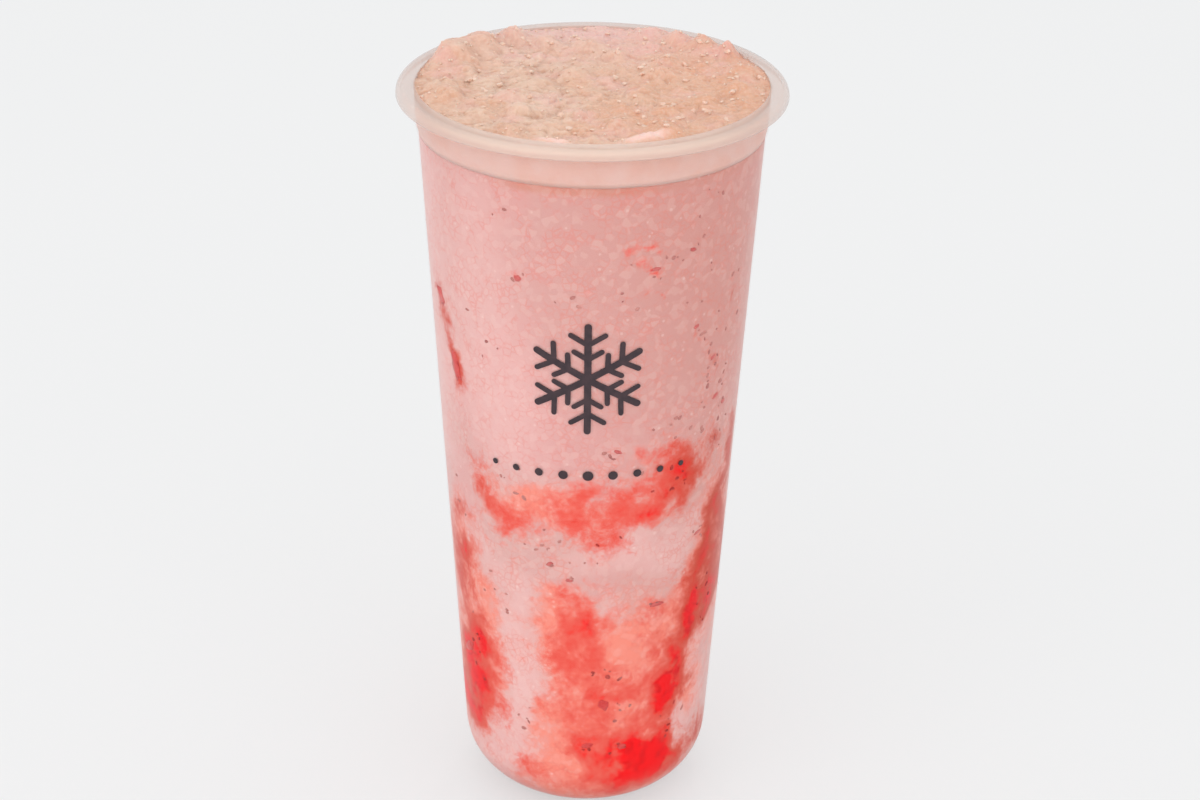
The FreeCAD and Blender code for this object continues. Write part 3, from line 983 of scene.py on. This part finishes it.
def snowflake_outline(size):
    """Outline of a six-armed snowflake, anticlockwise, in the plane, mm."""
    along = Vector((math.sin(TWIG_LEAN), math.cos(TWIG_LEAN)))
    left_of = Vector((-along.y, along.x))
    half_arm = [Vector((ARM_HALF, ARM_HALF / math.tan(math.radians(30))))]
    for start, length in TWIGS:
        root = Vector((0.0, start * size))
        low, high = root - left_of * TWIG_HALF, root + left_of * TWIG_HALF
        low += along * ((ARM_HALF - low.x) / along.x)
        high += along * ((ARM_HALF - high.x) / along.x)
        tip = root + along * (length * size + ARM_HALF / along.x)
        half_arm += [low] + rounded_tip(tip, along, TWIG_HALF) + [high]
    top = rounded_tip(Vector((0.0, size - ARM_HALF)), Vector((0.0, 1.0)), ARM_HALF, 8)
    mirrored_arm = [Vector((-p.x, p.y)) for p in reversed(half_arm)]
    whole_arm = half_arm + top + mirrored_arm[:-1]
    outline = []
    for k in range(6):
        turn = math.radians(60 * k)
        cosine, sine = math.cos(turn), math.sin(turn)
        outline.extend(Vector((p.x * cosine - p.y * sine, p.x * sine + p.y * cosine))
                       for p in whole_arm)
    return outline


def printed_shape(outline, middle_degrees, middle_height):
    """Vertices and faces of a thin closed layer of ink with this outline, wrapped on the wall."""
    bm = bmesh.new()
    ring = [bm.verts.new((p.x, p.y, 0.0)) for p in outline]
    bm.faces.new(ring)
    bm.normal_update()
    bmesh.ops.triangulate(bm, faces=bm.faces[:], ngon_method="EAR_CLIP")
    widest = max(abs(p.x) for p in outline)
    for cut in np.arange(-widest + STRIP, widest, STRIP):
        bmesh.ops.bisect_plane(bm, geom=bm.verts[:] + bm.edges[:] + bm.faces[:], dist=1e-5,
                               plane_co=(cut, 0, 0), plane_no=(1, 0, 0))
    bmesh.ops.triangulate(bm, faces=bm.faces[:])
    bmesh.ops.recalc_face_normals(bm, faces=bm.faces[:])
    raised = bmesh.ops.extrude_face_region(bm, geom=bm.faces[:])["geom"]
    for item in raised:
        if isinstance(item, bmesh.types.BMVert):
            item.co.z = 1.0
    bmesh.ops.recalc_face_normals(bm, faces=bm.faces[:])
    points = []
    for v in bm.verts:
        z = middle_height + v.co.y * MM
        radius = outer_radius(z) + (INK if v.co.z > 0.5 else -INK_ROOT)
        turn = math.radians(middle_degrees) + v.co.x * MM / outer_radius(middle_height)
        points.append(point_at(turn, radius, z))
    bm.verts.index_update()
    faces = [[v.index for v in f.verts] for f in bm.faces]
    bm.free()
    return points, faces


def make_print(material):
    """A plain snowflake on the front, with a row of dots under it."""
    snowflake = printed_shape(snowflake_outline(SNOWFLAKE), -0.5, PRINT_HEIGHT)
    new_piece("printed_snowflake", *snowflake, material, "print", smooth=False)
    dots = []
    for k in range(DOTS):
        across = 2.0 * k / (DOTS - 1) - 1.0
        half = 1.25 - 0.55 * abs(across)
        disc = [Vector((half * math.cos(t), half * math.sin(t)))
                for t in np.linspace(0.0, 2.0 * math.pi, 24, endpoint=False)]
        dots.append(printed_shape(disc, across * DOTS_REACH, DOTS_HEIGHT))
    new_piece("printed_dots", *joined(dots), material, "print", smooth=False)


# ---------------- camera, light and floor

CAMERA_DISTANCE = 0.650
CAMERA_ELEVATION = math.radians(27.0)
CAMERA_ROLL = math.radians(0.787)
LENS = 80.07
AIM_RIGHT, AIM_UP = 2.70 * MM, 9.86 * MM    # where the camera looks, from the cup's middle

# Lights: name, place, size in metres, power in watts. The two small ones behind give the glints
# on the front of the rim and on the ice
LIGHTS = [
    ("key", (-0.85, -1.1, 0.75), 1.5, 6.5),
    ("fill", (0.75, -1.2, 0.6), 1.4, 3.6),
    ("glint_left", (-0.13, 0.75, 1.17), 0.13, 0.55),
    ("glint_right", (0.20, 0.75, 1.17), 0.13, 0.7),
]
WORLD_LIGHT = 0.93
FLOOR_SIZE = 8.0


def make_camera():
    back = Vector((0, -math.cos(CAMERA_ELEVATION), math.sin(CAMERA_ELEVATION)))
    right = Vector((1, 0, 0))
    up = back.cross(right)
    place = CUP_MIDDLE + back * CAMERA_DISTANCE
    forward = CUP_MIDDLE + right * AIM_RIGHT + up * AIM_UP - place
    roll = Matrix.Rotation(CAMERA_ROLL, 3, "Z").to_quaternion()
    data = bpy.data.cameras.new("camera")
    data.sensor_width = 36.0
    data.lens = LENS
    data.clip_start = 0.01
    camera = bpy.data.objects.new("camera", data)
    camera.location = place
    camera.rotation_euler = (forward.to_track_quat("-Z", "Y") @ roll).to_euler()
    bpy.context.scene.collection.objects.link(camera)
    bpy.context.scene.camera = camera


def softbox(name, place, size, power):
    """A square area light aimed at the cup."""
    data = bpy.data.lights.new(name, "AREA")
    data.size = size
    data.energy = power
    light = bpy.data.objects.new(name, data)
    light.location = place
    light.rotation_euler = (CUP_MIDDLE - Vector(place)).to_track_quat("-Z", "Y").to_euler()
    bpy.context.scene.collection.objects.link(light)


def make_lights():
    for light in LIGHTS:
        softbox(*light)
    world = bpy.data.worlds.new("studio")
    world.use_nodes = True
    background = world.node_tree.nodes["Background"]
    background.inputs["Color"].default_value = (1.0, 1.0, 1.0, 1.0)
    background.inputs["Strength"].default_value = WORLD_LIGHT
    bpy.context.scene.world = world


def make_floor():
    bpy.ops.mesh.primitive_plane_add(size=FLOOR_SIZE, location=(0, 0, FOOT))
    floor = bpy.context.object
    floor.name = "floor"
    floor.data.materials.append(floor_material())


# ---------------- assembly

def main():
    make_camera()
    make_lights()
    make_floor()

    slush = make_slush(slush_material())
    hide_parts("slush")
    froth = make_froth(froth_material())
    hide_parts("froth")

    make_ice_grains(froth, speck_material("ice_grain", GRAIN_SHADES, 0.32, 600.0, depth=0.4))
    make_bubbles(froth, speck_material("foam_bubble", FOAM_SHADES, 0.15, 400.0, depth=0.4))
    marble(make_seeds(speck_material("seed", SEED_SHADES, 0.4, 260.0, shine=0.1,
                                     steeped=SEED_STEEPED)), "puree")
    marble(make_fruit(speck_material("strawberry_flesh", FLESH_SHADES, 0.3, 500.0, shine=0.1,
                                     steeped=FLESH_STEEPED)), "puree")
    make_print(ink_material())

    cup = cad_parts["cup"]
    cup.data.materials.clear()
    cup.data.materials.append(plastic_material())


main()
bpy.context.scene.view_settings.view_transform = "Standard"
